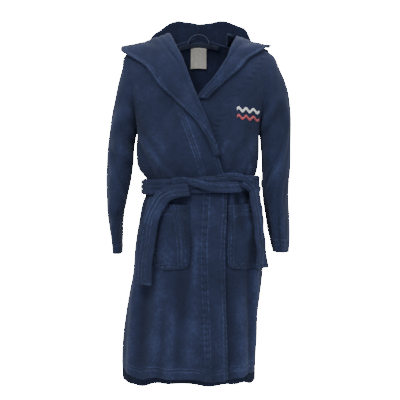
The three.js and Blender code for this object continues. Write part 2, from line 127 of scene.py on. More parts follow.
# %% Half widths and depth of the body, by height
RIGHT, LEFT = -1, 1
WAIST, ARMPIT, SHOULDER, CHEST = -418, -262, 190, 166
TURN, POWER = 110, 2.5
QUARTER = TURN * np.pi / 2
right_side = fair([(-60, 214), (-160, 198), (ARMPIT, CHEST), (-330, 168), (-372, 161), (-400, 140),
                   (WAIST, 134), (-438, 139), (-461, 149), (-513, 160), (-590, 172), (-663, 178),
                   (-715, 188), (-770, 197), (-834, 205), (-899, 208), (BACK_HEM, 205)])
left_side = fair([(-60, 214), (-160, 198), (ARMPIT, CHEST), (-346, 162), (-383, 156), (-402, 149),
                  (WAIST, 148), (-440, 151), (-463, 168), (-513, 175), (-560, 178), (-600, 177),
                  (-663, 173), (-715, 167), (-770, 160), (-834, 158), (-899, 154), (BACK_HEM, 153)])
depth_at = fair([(0, 96), (-130, 106), (ARMPIT, 110), (-340, 103), (-392, 92), (WAIST, 91),
                 (-444, 92), (-520, 96), (-700, 99), (BACK_HEM, 104)])


def shoulder_line(x):
    """Height of the shoulder at x: it falls 0.33 for each millimetre outwards, rounded at the centre."""
    return 14 - 0.33 * np.hypot(x, 15)


MIDDLE = shoulder_line(SHOULDER / 2)


# %% The surface and how to find places on it
def height(x, run):
    """Over the first quarter turn the height falls as a circle's does, then straight down."""
    length = np.abs(run)
    turned = np.minimum(length, QUARTER) / TURN
    fade = 1 - step(length, 0, QUARTER + 70)
    fall = TURN * (1 - np.cos(turned)) + np.maximum(0, length - QUARTER)
    return MIDDLE - fall + (shoulder_line(x) - MIDDLE) * fade


def shell(x, run):
    """x, then the superellipse depth (1 - share^2.5)^(1/2.5) times the turn's sine, then the height."""
    z = height(x, run)
    right, left = right_side(z), left_side(z)
    share = np.minimum(1, np.abs(x - (left - right) / 2) / ((left + right) / 2))
    depth = depth_at(z) * (1 - share**POWER) ** (1 / POWER)
    y = np.sign(run) * depth * np.sin(np.minimum(np.abs(run), QUARTER) / TURN)
    return np.stack([x + 0 * y, y, z], -1)


def unit(vectors):
    """Vectors divided by their lengths."""
    return vectors / np.maximum(np.linalg.norm(vectors, axis=-1, keepdims=True), 1e-12)


def on_shell(x, run, lift):
    """The shell's place moved out by lift along the cross product of its slopes across and down."""
    x, run = np.broadcast_arrays(np.asarray(x, float), np.asarray(run, float))
    e = 0.4
    slope_x = shell(x + e, run) - shell(x - e, run)
    slope_run = shell(x, run + e) - shell(x, run - e)
    return shell(x, run) + unit(np.cross(slope_x, slope_run)) * np.asarray(lift)[..., None]


def run_at(x, z, face):
    """The run that reaches height z: the bracket of runs is halved 30 times."""
    low, high = np.zeros(np.broadcast(x, z).shape), np.full(np.broadcast(x, z).shape, 1200.0)
    for _ in range(30):
        middle = (low + high) / 2
        above = height(x, middle) > z
        low, high = np.where(above, middle, low), np.where(above, high, middle)
    return face * (low + high) / 2


def across(z, a, b, t):
    """The place at share t between two edges, evenly spaced in the superellipse's own angle."""
    right, left = right_side(z), left_side(z)
    centre, half = (left - right) / 2, (left + right) / 2

    def angle(x):
        share = np.clip((x - centre) / half, -1, 1)
        return np.arcsin(np.sign(share) * np.abs(share) ** (POWER / 2))

    turned = np.sin(mix(angle(a), angle(b), t))
    return centre + half * np.sign(turned) * np.abs(turned) ** (2 / POWER)


NECK_RUN = TURN * np.arcsin(54 / 96)
print("run of the back neck seam, mm:", round(float(NECK_RUN), 1))

# %% [markdown]
# ## Folds
# Washed towelling never lies flat. Two kinds of relief are added to the lift before the points are
# made, so every layer that lies on another folds with it. `fold` is a ridge beside a valley along a
# line, as where a belt gathers the cloth. `wander` is the slow unevenness of the whole cloth.

# %% Ridges, wandering and puckered seams
def fold(x, z, start, end, width, height_of):
    """A bell curve across the line, less a lower bell beside it, faded at both ends of the line."""
    (ax, az), (bx, bz) = start, end
    length = np.hypot(bx - ax, bz - az)
    share = ((x - ax) * (bx - ax) + (z - az) * (bz - az)) / length**2
    off = ((x - ax) * (bz - az) - (z - az) * (bx - ax)) / length
    fade = step(share, -0.15, 0.25) * (1 - step(share, 0.7, 1.15))
    return height_of * fade * (np.exp(-((off / width) ** 2)) - 0.7 * np.exp(-((off / width - 1.9) ** 2)))


def wander(a, b, seed, scale, stretch=2.2, waves=9):
    """The mean of sine waves whose directions, lengths and phases come from a fixed seed."""
    draw = np.random.default_rng(seed)
    total = 0
    for turn, phase, size in zip(*draw.uniform([[0], [0], [0.5]], [[3.1], [6.2], [1.5]], (3, waves))):
        along = a * np.cos(turn) + b * np.sin(turn) / stretch
        total = total + np.sin(along * 6.28 / (scale * size) + phase)
    return total / waves**0.5


def pucker(along, distance, seed, reach=7, pitch=15):
    """Small waves along a stitched line, dying away from it as a bell curve."""
    wobble = along + 5 * np.sin(along / 31 + seed)
    return np.sin(wobble * 6.28 / pitch) * np.exp(-((distance / reach) ** 2))


ARMHOLE_TOP = -49
front_folds = [  # start, end, width and height of each ridge
    ((-158, -272), (-92, -408), 9, 6.5), ((-128, -318), (-76, -404), 7, 5.5),
    ((-150, -222), (-52, -392), 13, 3.5),
    ((-108, -350), (-54, -408), 6, 4), ((78, -300), (56, -342), 6, 4), ((152, -286), (112, -404), 10, 5),
    ((122, -322), (92, -406), 8, 4), ((138, -360), (128, -408), 5, 3.5),
    ((-118, -432), (-150, -560), 9, 6), ((-92, -430), (-104, -520), 7, 5), ((-60, -430), (-64, -500), 6, 4),
    ((84, -430), (92, -520), 7, 5), ((112, -430), (134, -560), 8, 6), ((138, -428), (160, -520), 6, 5),
    ((-4, -540), (-12, -700), 7, 6), ((-10, -640), (-34, -990), 17, 7), ((-160, -520), (-186, -1000), 15, 8),
    ((-100, -650), (-128, -1000), 20, 8), ((-66, -700), (-78, -1000), 14, 5),
    ((58, -720), (66, -1000), 14, 5),
    ((152, -610), (148, -950), 9, 8), ((112, -660), (116, -1000), 17, 7), ((-20, -450), (-8, -600), 9, 3),
]
back_folds = [
    ((-120, -270), (-60, -408), 12, 6), ((120, -270), (60, -408), 12, 6), ((-40, -330), (-24, -406), 8, 4),
    ((40, -340), (30, -406), 8, 4), ((-110, -430), (-130, -620), 10, 6), ((-50, -430), (-70, -1000), 14, 8),
    ((10, -430), (4, -800), 11, 6), ((70, -430), (84, -1000), 15, 8), ((120, -430), (140, -640), 9, 6),
    ((-150, -600), (-170, -1000), 16, 8), ((34, -700), (40, -1000), 14, 6),
    ((124, -720), (128, -1000), 13, 7),
]


def relief(x, z, face):
    """All the folds of one side of the robe, plus wandering that grows from the shoulders to the hem.
    It fades at the side seams, where the front and the back are sewn together."""
    folds = front_folds if face < 0 else back_folds
    total = sum(fold(x, z, *each) for each in folds)
    loose = mix(0.5, 1.5, step(-z, 100, 900)) * (1 - 0.7 * np.exp(-(((z - WAIST) / 26) ** 2)))
    seed = 11 if face < 0 else 23
    slow, quick = wander(x, z, seed, 120), wander(x, z, seed + 1, 38, 1.6)
    right, left = right_side(z), left_side(z)
    armhole = mix(SHOULDER, CHEST, np.clip((z - ARMHOLE_TOP) / (ARMPIT - ARMHOLE_TOP), 0, 1))
    edge = np.where(z > ARMPIT, armhole, np.where(x > 0, left, right))
    sewn_down = step(edge - np.abs(x), 0, 16)
    return (total + 2.0 * slow * loose + 0.55 * quick) * step(-z, 20, 160) * sewn_down


print("folds on the front and the back:", len(front_folds), len(back_folds))

# %% [markdown]
# ## From a grid of points to a piece of cloth
# Solidify could thicken an open sheet, but the cut edges of towelling are soft and round, and the rim
# should carry the same texture coordinates as the face. So the sheet is closed here: an outer grid, an
# inner grid, and a rounded rim of rings between their borders.

# %% Normals, closed sheets and cloth coordinates
def grid_normals(grid, closed):
    """The unit cross product of the grid's steps across (second index) and along (first index)."""
    if closed:
        step_u = np.roll(grid, -1, 1) - np.roll(grid, 1, 1)
    else:
        step_u = np.gradient(grid, axis=1)
    return unit(np.cross(step_u, np.gradient(grid, axis=0)))


def lengths(grid, axis):
    """Distance along the cloth from the first row or column: the running sum of the steps' lengths."""
    steps = np.linalg.norm(np.diff(grid, axis=axis), axis=-1)
    total = np.cumsum(steps, axis)
    return np.concatenate([0 * np.take(total, [0], axis), total], axis)


def quads(index, flip=False):
    """Four corners of each cell of an index grid, counter-clockwise, or the other way round."""
    corners = [index[:-1, :-1], index[:-1, 1:], index[1:, 1:], index[1:, :-1]]
    return np.stack(corners[::-1] if flip else corners, -1).reshape(-1, 4)


RIM = 4


def closed_sheet(grid, wall, closed=False):
    """Outer grid = inner grid + wall x normal. Ring k of the rim is the mix of the two borders at
    share k/4, pushed out by half a wall times the sine of half a turn."""
    normal = grid_normals(grid, closed)
    wall = np.broadcast_to(np.asarray(wall, float), grid.shape[:2])[..., None]
    rows, columns = grid.shape[:2]
    outer = grid + normal * wall
    index = np.arange(rows * columns).reshape(rows, columns)
    wrapped = np.concatenate([index, index[:, :1]], 1) if closed else index
    if closed:
        borders = [index[0], index[-1][::-1]]
    else:
        borders = [np.concatenate([index[0, :-1], index[:-1, -1], index[-1, :0:-1], index[:0:-1, 0]])]
    points = [outer.reshape(-1, 3), grid.reshape(-1, 3)]
    faces, sources = [quads(wrapped), quads(wrapped, True) + rows * columns], [index.ravel(), index.ravel()]
    count = 2 * rows * columns
    for border in borders:
        a, b = points[0][border], points[1][border]
        tangent = np.roll(a, -1, 0) - np.roll(a, 1, 0)
        outwards = unit(np.cross(tangent, normal.reshape(-1, 3)[border]))
        reach = wall.reshape(-1, 1)[border] / 2
        rings = [border]
        for k in range(1, RIM):
            share = k / RIM
            points.append(mix(a, b, share) + outwards * reach * np.sin(np.pi * share))
            rings.append(count + np.arange(len(border)))
            sources.append(border)
            count += len(border)
        rings.append(border + rows * columns)
        ring = np.array(rings)
        faces.append(quads(np.concatenate([ring, ring[:, :1]], 1), True))
    return np.concatenate(points), np.concatenate(faces), np.concatenate(sources)


def cloth(name, grid, wall, closed=False, crest=0.0, across_from="left"):
    """A closed sheet as a Blender mesh. Its UV map is in metres: x from the chosen edge, y from the
    first row. The attribute crest is the relief in millimetres; the finish paints fold tops lighter, a
    painted highlight, and valleys darker, a painted shade."""
    points, faces, source = closed_sheet(grid, wall, closed)
    loop = np.concatenate([grid, grid[:, :1]], 1) if closed else grid
    u, v = lengths(loop, 1)[:, : grid.shape[1]], lengths(grid, 0)
    girth = float(lengths(loop, 1)[:, -1].mean())
    if across_from == "right":
        u = lengths(grid[:, ::-1], 1)[:, ::-1]
    uv = np.stack([u.ravel()[source][faces], v.ravel()[source][faces]], -1) * MM
    if closed:
        split = np.ptp(uv[..., 0], axis=1) > girth * MM / 2
        uv[..., 0] += girth * MM * (split[:, None] & (uv[..., 0] < girth * MM / 2))
    mesh = bpy.data.meshes.new(name)
    mesh.from_pydata(points * MM + SHIFT, [], faces, shade_flat=False)
    mesh.uv_layers.new(name="cloth").data.foreach_set("uv", uv.ravel().astype(np.float32))
    values = np.broadcast_to(crest, grid.shape[:2]).ravel()[source].astype(np.float32)
    mesh.attributes.new("crest", "FLOAT", "POINT").data.foreach_set("value", values)
    item = bpy.data.objects.new(name, mesh)
    bpy.context.collection.objects.link(item)
    across_size, along_size = lengths(loop, 1)[:, -1], lengths(grid, 0)[-1]
    return item


def sewn(item, body, finish, *nodes, held="hung", rests_on=(), slot="towelling"):
    """The piece gets its finish and hides the frame nodes it stands for. Given a body's name, it rides that
    body; given anything else, it is baked in place. A strip under 10 mm wide is declared as 10 mm."""
    item.data.materials.append(finish)
    if isinstance(body, str):
        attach(item, body)
    else:
        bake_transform(item)
    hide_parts(*nodes)
    return item


# %% [markdown]
# ## Shader maths in plain Python
# A finish is a long sum of small patterns, which is hard to read as a picture of nodes. `Value` wraps a
# node's output so that + - * and / add Math nodes, and `Finish.node` adds any other node in one line.

# %% Sockets as values
class Value:
    """A number that varies over the surface; arithmetic on it adds Math nodes to its finish."""

    def __init__(self, finish, socket):
        self.finish, self.socket = finish, socket

    def math(self, operation, *others, first=None):
        return self.finish.node("ShaderNodeMath", {"operation": operation}, *(first or (self,)), *others)

    def __add__(self, other):
        return self.math("ADD", other)

    def __sub__(self, other):
        return self.math("SUBTRACT", other)

    def __mul__(self, other):
        return self.math("MULTIPLY", other)

    def __truediv__(self, other):
        return self.math("DIVIDE", other)

    def __rsub__(self, other):
        return self.math("SUBTRACT", self, first=(other,))

    __radd__, __rmul__ = __add__, __mul__


class Finish:
    """A material and its nodes."""

    def __init__(self, name):
        self.material = bpy.data.materials.new(name)
        self.material.use_nodes = True
        self.tree = self.material.node_tree
        self.tree.nodes.clear()

    def node(self, kind, settings=None, *inputs, out=0, places=None, **named):
        """One node: its settings first, then its sockets by place or by name, then its output."""
        made_node = self.tree.nodes.new(kind)
        for key, value in (settings or {}).items():
            if key == "stops":
                ramp = made_node.color_ramp
                while len(ramp.elements) < len(value):
                    ramp.elements.new(0.5)
                for element, (at, colour) in zip(ramp.elements, value):
                    element.position, element.color = at, colour
            else:
                setattr(made_node, key, value)
        pairs = list(enumerate(inputs)) + list((places or {}).items())
        pairs += [(key.replace("_", " "), value) for key, value in named.items()]
        for key, value in pairs:
            if isinstance(value, Value):
                self.tree.links.new(value.socket, made_node.inputs[key])
            else:
                made_node.inputs[key].default_value = value
        return Value(self, made_node.outputs[out]) if len(made_node.outputs) else None

    def done(self, surface):
        """The shader goes to the material's output."""
        self.node("ShaderNodeOutputMaterial", None, surface)
        return self.material


def mixed(f, share, a, b):
    """Colour a, and b where share is 1. A colour Mix node's colours are its sockets 6 and 7."""
    return f.node("ShaderNodeMix", {"data_type": "RGBA"}, places={0: share, 6: a, 7: b}, out=2)


print("operators ready: + - * /")

# %% [markdown]
# ## The towelling finish
# Towelling is a carpet of cotton loops 1.5 to 2 mm across. Washing felts them together, so the surface
# is matt and slightly mottled. Its colour comes from a slow noise for washing, a quicker one for the
# pile's lie, the fold attribute as painted light and shade (fold tops lighter, valleys darker), a lift
# per piece (painted light on some pieces, painted shade on others), and the gaps between loops.
# Stitched lines press a groove into the pile, and each stitch makes a small dimple along it; the ridge
# beside each line gets a painted highlight with patchy wear. Fuzz catches light at grazing angles: that
# is the shader's sheen, a constant.

# %% The colours of the robe
# The palest navy is reached by washed patches and by the painted highlights on fold tops and stitch ridges;
# the deepest also by the painted shade in fold valleys.
NAVY_DEEP = (0.0038, 0.0067, 0.0215, 1)
NAVY_MID = (0.0079, 0.0123, 0.0370, 1)
NAVY_WORN_AND_HIGHLIT = (0.0250, 0.0355, 0.0900, 1)
THREAD_NAVY = (0.0340, 0.0480, 0.1050, 1)


def smooth_band(value, low, high):
    """1 below low and 0 above high, with an even slope between."""
    return value.finish.node("ShaderNodeMapRange", {"interpolation_type": "SMOOTHSTEP"},
                             value, low, high, 1.0, 0.0)


# lift adds to the tone of a whole piece of the same towelling: positive on the lapels, hood and belt, a
# painted light; negative on the pockets, a painted shade.
def towelling(name, lines_u=(), lines_v=(), lift=0.0, pile=0.55):
    """Navy towelling with stitched lines at distances from the edge (lines_u) and the end (lines_v)."""
    f = Finish(name)
    place = f.node("ShaderNodeTexCoord", out=3)
    flat = f.node("ShaderNodeUVMap", {"uv_map": "cloth"})
    u = f.node("ShaderNodeSeparateXYZ", None, flat, out=0)
    v = f.node("ShaderNodeSeparateXYZ", None, flat, out=1)
    crest = f.node("ShaderNodeAttribute", {"attribute_name": "crest"}, out=2)
    washed = f.node("ShaderNodeTexNoise", None, place, Scale=14.0, Detail=4.0, Roughness=0.6)
    lie = f.node("ShaderNodeTexNoise", None, place, Scale=120.0, Detail=5.0, Roughness=0.75)
    loops = f.node("ShaderNodeTexVoronoi", {"feature": "F1"}, place, Scale=520.0, Randomness=0.9)
    fibre = f.node("ShaderNodeTexNoise", None, place, Scale=1500.0, Detail=3.0, Roughness=0.7)
    groove, dimple, paler = None, None, None
    for share, along, marks in ((u, v, lines_u), (v, u, lines_v)):
        for at in marks:
            off = (share - at).math("ABSOLUTE")
            pressed = smooth_band(off, 0.0004, 0.0032)
            thread = smooth_band(off, 0.0002, 0.0009) * smooth_band(
                ((along * 1.0 / 0.0034).math("FRACT") - 0.5).math("ABSOLUTE"), 0.24, 0.38)
            # A band 4 mm beside each stitched line is painted lighter: a painted highlight on the puckered
            # ridge, broken up by patchy wear.
            ridge = smooth_band((off - 0.0040).math("ABSOLUTE"), 0.0006, 0.0032)
            paler = ridge if paler is None else paler.math("MAXIMUM", ridge)
            groove = pressed if groove is None else groove.math("MAXIMUM", pressed)
            dimple = thread if dimple is None else dimple.math("MAXIMUM", thread)
    # crest paints fold tops lighter and fold valleys darker: painted highlight and painted shade
    # lift shifts the whole piece's tone: painted light where positive, painted shade where negative
    tone = 0.42 + (washed - 0.5) * 0.9 + (lie - 0.5) * 1.0 + crest * 0.035 + lift - loops * 0.16
    if groove is not None:
        patchy = f.node("ShaderNodeTexNoise", None, place, Scale=160.0, Detail=2.0)
        # the ridges beside the lines get a painted highlight with patchy wear
        tone = tone - groove * 0.30 + paler * (patchy * 1.0 - 0.22).math("MAXIMUM", 0.0) * 0.9
    colour = f.node("ShaderNodeValToRGB", {"stops": [(0.08, NAVY_DEEP), (0.46, NAVY_MID), (0.95, NAVY_WORN_AND_HIGHLIT)]},
                    tone)
    height_map = (1.0 - loops) * pile + fibre * 0.25 + lie * 0.9
    if groove is not None:
        colour = mixed(f, dimple * 0.55, colour, THREAD_NAVY)
        height_map = height_map - groove * 1.5 + dimple * 0.6
    bump = f.node("ShaderNodeBump", None, Strength=0.85, Distance=0.0011, Height=height_map)
    rough = f.node("ShaderNodeMapRange", None, lie, 0.3, 0.7, 0.86, 0.98)
    surface = f.node("ShaderNodeBsdfPrincipled", None, Base_Color=colour, Roughness=rough, Normal=bump,
                     Sheen_Weight=0.10, Sheen_Roughness=0.5, Sheen_Tint=(0.45, 0.52, 0.80, 1),
                     Specular_IOR_Level=0.25)
    return f.done(surface)


# %% [markdown]
# ## Body panels
# The back, the two fronts and the folding part of the right front are cut between the side seams and
# their free edges. A grid could be draped by simulation, but the frame already says where the cloth
# hangs, so each row is placed on the shell, with the folds added to its lift.

# %% The edges of the panels, by height
WALL = 3.5
ARM_TOP = float(shoulder_line(SHOULDER))
upper_edge = fair([(-12, -80), (-86, -45), (-143, -23), (-194, -3), (-270, 27), (-338, 50),
                   (WAIST + 26, 66), (-600, 68), (FRONT_HEM, 74)])
lower_edge = fair([(-19, 104), (-84, 76), (-130, 47), (-167, 15), (-194, -3), (ARMPIT, -44),
                   (-330, -48), (BACK_HEM, -48)])


def side_edge(z, toward):
    """The side seam, or above the armpit the straight armhole, whichever is nearer the centre."""
    seam = (right_side(z) if toward == RIGHT else left_side(z)) - 0.0004
    hole = mix(SHOULDER, CHEST, np.clip((z - ARM_TOP) / (ARMPIT - ARM_TOP), 0, 1)) - 0.3
    return toward * np.where(z > ARMPIT, np.minimum(seam, hole), seam)


DRAWN_BACK, DRAWN_FRONT = BACK_HEM - 12, FRONT_HEM + 8


def hem_run(level, u):
    """The run of the hem: lowest in the middle, climbing as the cube of the distance to the sides."""
    ripple = 4.0 * np.sin(u * 17 + 1) + 2.5 * np.sin(u * 41)
    return run_at(0 * u, level + HEM_RISE * np.abs(2 * u - 1) ** 3 + ripple * (1 - np.abs(2 * u - 1) ** 3), 1)


def overlap(x, z):
    """The right front stands 10 mm off where it lies on the left one."""
    return 10 * step(x - lower_edge(z), -62, -16)


def lay(edges, start, end, columns, rows, lift):
    """Points at (u, v): the run is mixed from start to end, and x is found between the edges at the
    height that this x and run reach, repeated six times. Returns the points and the relief."""
    u, v = np.meshgrid(np.linspace(0, 1, columns + 1), np.linspace(0, 1, rows + 1))
    run = mix(start(u), end(u), v)
    x = 0 * u
    for _ in range(6):
        z = height(x, run)
        x = across(z, *edges(z, run), u)
    z = height(x, run)
    bumps = np.where(run < 0, relief(x, z, -1), relief(x, z, 1))
    return on_shell(x, run, lift(x, z, u, run) + bumps), bumps


# %% The finishes of the big panels, and the panels
body_terry = towelling("towelling body", lines_u=(0.010,), lines_v=(0.022, 0.027))
front_terry = towelling("towelling right front", lines_u=(0.006, 0.052, 0.058), lines_v=(0.022,))


def back_panel():
    edges = lambda z, run: (side_edge(z, RIGHT), side_edge(z, LEFT))
    dip = lambda u: 0.6 + NECK_RUN * (1 - step(np.abs(mix(-SHOULDER, SHOULDER, u)), 66, 82))
    hem = lambda u: hem_run(DRAWN_BACK, u)
    points, bumps = lay(edges, hem, dip, 110, 260, lambda x, z, u, run: 0 * x)
    return points[:, ::-1], bumps[:, ::-1]


SKIRT_TOP = -441
points, bumps = back_panel()
back = cloth("back_panel_cloth", points, WALL, crest=bumps)


def at_height(z):
    """An end of a panel at one height on the front."""
    return lambda u: run_at(0 * u, z + 0 * u, -1)


def shoulder_seam(u):
    """The end of a front panel, just in front of the shoulder line."""
    return 0 * u - 0.6


def right_edges(z, run):
    return side_edge(z, RIGHT), upper_edge(z)


def left_edges(z, run):
    return lower_edge(z), side_edge(z, LEFT)


def bodice_lift(x, z, u, run):
    """Over the left front, and drawn in at the waist, where the skirt's top lies over it."""
    return overlap(x, z) - 1.2 * step(-z, -SKIRT_TOP - 8, -SKIRT_TOP - 1)


def skirt_lift(x, z, u, run):
    """Over the left front, puckered along the edge and along the facing's stitches, with a ridge there."""
    inset = x - upper_edge(z)
    ridge = 2.2 * np.exp(-(((inset + 46) / 7) ** 2))
    return overlap(x, z) + 2.4 * pucker(z, inset + 55, 1, 9, 17) + 1.2 * pucker(z, inset + 3, 2) + ridge


def left_lift(x, z, u, run):
    """Puckered along the seam of the left front's facing, from the chest down to the waist."""
    return 1.4 * pucker(z, x - lower_edge(z) - 92, 3) * step(z, -420, -300)


points, bumps = lay(right_edges, at_height(SKIRT_TOP - 7), shoulder_seam, 72, 140, bodice_lift)
right_front = cloth("right_front_cloth", points, WALL, crest=bumps, across_from="right")
skirt_hem = lambda u: -hem_run(DRAWN_FRONT, u * 0.65)
points, bumps = lay(right_edges, skirt_hem, at_height(SKIRT_TOP), 80, 160, skirt_lift)
right_skirt = cloth("right_front_skirt", points, WALL, crest=bumps, across_from="right")
left_hem = lambda u: -hem_run(DRAWN_FRONT, 0.4 + 0.6 * u)
points, bumps = lay(left_edges, left_hem, shoulder_seam, 84, 260, left_lift)
left_front = cloth("left_front_cloth", points, WALL, crest=bumps)


def joint_place(name):
    """The place of a joint in the frame, in metres."""
    return np.array([joint["pos_m"] for joint in frame["joints"] if joint["name"] == name][0])


hinge = joint_place("flap_fold")
sewn(back, "root", body_terry, "back_panel", rests_on=["hanger_loop"])
sewn(right_front, "root", front_terry, "right_front")
sewn(right_skirt, ("root", "front_flap", hinge - [0.012, 0, 0], hinge + [0.012, 0, 0]), front_terry,
     "right_front_flap")
sewn(left_front, "root", body_terry, "left_front")
print("hinge of the folding front:", np.round(hinge, 3))

# %% [markdown]
# ## Facings
# Inside each front edge a narrow second layer of the same cloth stiffens the edge. It shows when the
# front folds open, and at the bottom corner.

# %% The three facings
TRIM = 2
facing_terry = towelling("towelling facing", lines_u=(0.049,), lines_v=(0.008, 0.016), pile=0.4)


def facing(edge, width, top, bottom, lift):
    def edges(z, run):
        x = edge(z) - np.sign(width) * 1.8
        return (x - width, x) if width > 0 else (x, x - width)

    rows = int((top - bottom) / 4)
    return lay(edges, at_height(bottom), at_height(top), 14, rows, lambda x, z, u, run: 0 * x + lift)


for name, body, edge, width, top, bottom, lift in (
    ("right_front_facing", "root", upper_edge, 55, -236, SKIRT_TOP - 2, 6.2),
    ("right_flap_facing", "front_flap", upper_edge, 55, SKIRT_TOP - 8, DRAWN_FRONT + 10, 6.2),
    ("left_front_facing", "root", lower_edge, -55, -206, DRAWN_FRONT + 10, -TRIM - 1.2),
):
    points, bumps = facing(edge, width, top, bottom, lift)
    sewn(cloth(name + "_cloth", points, TRIM, crest=bumps), body, facing_terry, name)

# %% [markdown]
# ## Sleeves
# A hanging sleeve is a tube whose top follows the armhole and whose section becomes an oval. Its
# outline comes from how the sleeve hangs: an outer and an inner edge by height. Creases gather under
# the arm, and the cuff's hem is stitched round.

# %% The shape of each sleeve
CUFF = {RIGHT: -604, LEFT: -600}
SLEEVE_DEPTH = 62
outer_edge = {
    RIGHT: fair([(ARM_TOP, 190.6), (-62, 203), (-95, 211), (-135, 221), (-240, 241), (-367, 254), (-440, 254),
                 (-508, 250), (-570, 241), (-604, 237)]),
    LEFT: fair([(ARM_TOP, 190.6), (-62, 206), (-95, 222), (-130, 238), (-200, 253), (-290, 254), (-367, 253),
                (-440, 248), (-500, 251), (-560, 252), (-600, 249)]),
}
inner_edge = {
    RIGHT: fair([(ARMPIT, CHEST + 0.6), (-308, 175), (-364, 180), (-427, 190), (-508, 205), (-604, 210)]),
    LEFT: fair([(ARMPIT, CHEST + 0.6), (-320, 172), (-437, 175), (-521, 187), (-572, 197), (-600, 204)]),
}
arm_folds = {  # angle round the arm in turns, distance down it as a share: start, end, width, height
    RIGHT: [((0.30, 0.06), (0.12, 0.34), 0.030, 5), ((0.40, 0.10), (0.18, 0.26), 0.026, 4),
            ((0.46, 0.24), (0.10, 0.44), 0.032, 4.5), ((0.10, 0.50), (0.44, 0.62), 0.030, 3.5),
            ((0.36, 0.66), (0.06, 0.80), 0.030, 3.5), ((0.20, 0.84), (0.16, 1.1), 0.025, 3),
            ((0.84, 0.14), (0.62, 0.40), 0.034, 4.5), ((0.70, 0.45), (0.92, 0.66), 0.034, 4)],
    LEFT: [((0.42, 0.04), (0.16, 0.16), 0.028, 6), ((0.16, 0.16), (0.10, 0.34), 0.028, 4.5),
           ((0.44, 0.20), (0.26, 0.40), 0.030, 4.5), ((0.12, 0.42), (0.40, 0.56), 0.030, 3.5),
           ((0.20, 0.62), (0.24, 1.05), 0.026, 4.5), ((0.34, 0.70), (0.36, 1.05), 0.024, 4),
           ((0.84, 0.14), (0.62, 0.40), 0.034, 4.5), ((0.70, 0.45), (0.92, 0.66), 0.034, 4)],
}


def sleeve(toward, columns=96, rows=200):
    """Round the arm x goes from the outer edge to the inner one as (1 - cos)/2 and y as the sine; the
    depth changes from the armhole's to the oval's over the top three tenths."""
    turns, reach = np.meshgrid(np.arange(columns) / columns, np.linspace(1, 0, rows + 1))
    angle = 2 * np.pi * turns
    inward = (1 - np.cos(angle)) / 2
    outer_z, inner_z = mix(ARM_TOP, CUFF[toward], reach), mix(ARMPIT, CUFF[toward], reach)
    x = mix(outer_edge[toward](outer_z), inner_edge[toward](inner_z), inward)
    z = mix(outer_z, inner_z, inward)
    hole_z = mix(ARM_TOP, ARMPIT, inward)
    hole_x = toward * mix(SHOULDER, CHEST, (hole_z - ARM_TOP) / (ARMPIT - ARM_TOP))
    hole = np.abs(shell(hole_x, run_at(hole_x, hole_z, 1))[..., 1]) + WALL
    y = -mix(np.sign(np.sin(angle)) * hole, np.sin(angle) * SLEEVE_DEPTH, step(reach, 0, 0.3))
    y = np.where(np.abs(np.sin(angle)) < 1e-9, 0, y)
    grid = np.stack([toward * x, y, z], -1)
    if toward == LEFT:
        grid = grid[:, ::-1]
        turns = turns[:, ::-1]
    bumps = sum(fold(turns, reach, *each) for each in arm_folds[toward])
    slow = 1.4 * wander(60 * angle, 560 * reach, 31 + toward, 120)
    bumps = bumps + slow + 0.6 * np.sin(angle * 9 + 40 * reach)
    bumps = bumps * step(reach, 0, 0.08) + 0.8 * pucker(angle * 60, (1 - reach) * 540 - 26, 5)
    bumps = bumps * (0.35 + 0.65 * np.abs(np.sin(angle)))
    return grid + grid_normals(grid, True) * (bumps - WALL)[..., None], bumps


ARMHOLE_GIVE = np.array([0.0357, 0, -0.0046])  # at right angles to the armhole
sleeve_terry = towelling("towelling sleeve", lines_v=(0.024, 0.029))
for toward, name in ((RIGHT, "right_sleeve"), (LEFT, "left_sleeve")):
    points, bumps = sleeve(toward)
    item = cloth(name + "_cloth", points, WALL, closed=True, crest=bumps)
    top = joint_place(name + "_swing")
    sewn(item, ("root", name, top, top + ARMHOLE_GIVE * [toward, 1, 1]), sleeve_terry, name)

# %% [markdown]
# ## Lapels and hood
# The lapels are the hood's own facing, turned outwards: two layers, smoother than the rest, with a
# thick rolled edge at the neck. They run up over the shoulders, stick out in a tip, and join the hood,
# which hangs open down the back.

# %% The lapels
ON_FRONT = WALL + 3.4
right_lapel_edge = fair([(-46, -206), (-60, -201), (-78, -172), (-94, -146), (-128, -117), (-152, -100),
                         (-177, -74), (-200, -50), (-242, -9), (-296, 26), (-334, 42)])
left_lapel_edge = fair([(-42, 203), (-50, 196), (-57, 178), (-70, 147), (-108, 106), (-132, 77),
                        (-159, 48), (-186, 22)])
lapel_terry = towelling("towelling lapel", lines_u=(0.009,), lift=0.02, pile=0.4)


def hood_top(share):
    """The neck seam of the hood bends away from the neck as the square of the distance from the centre."""
    return NECK_RUN + 26 * share**2


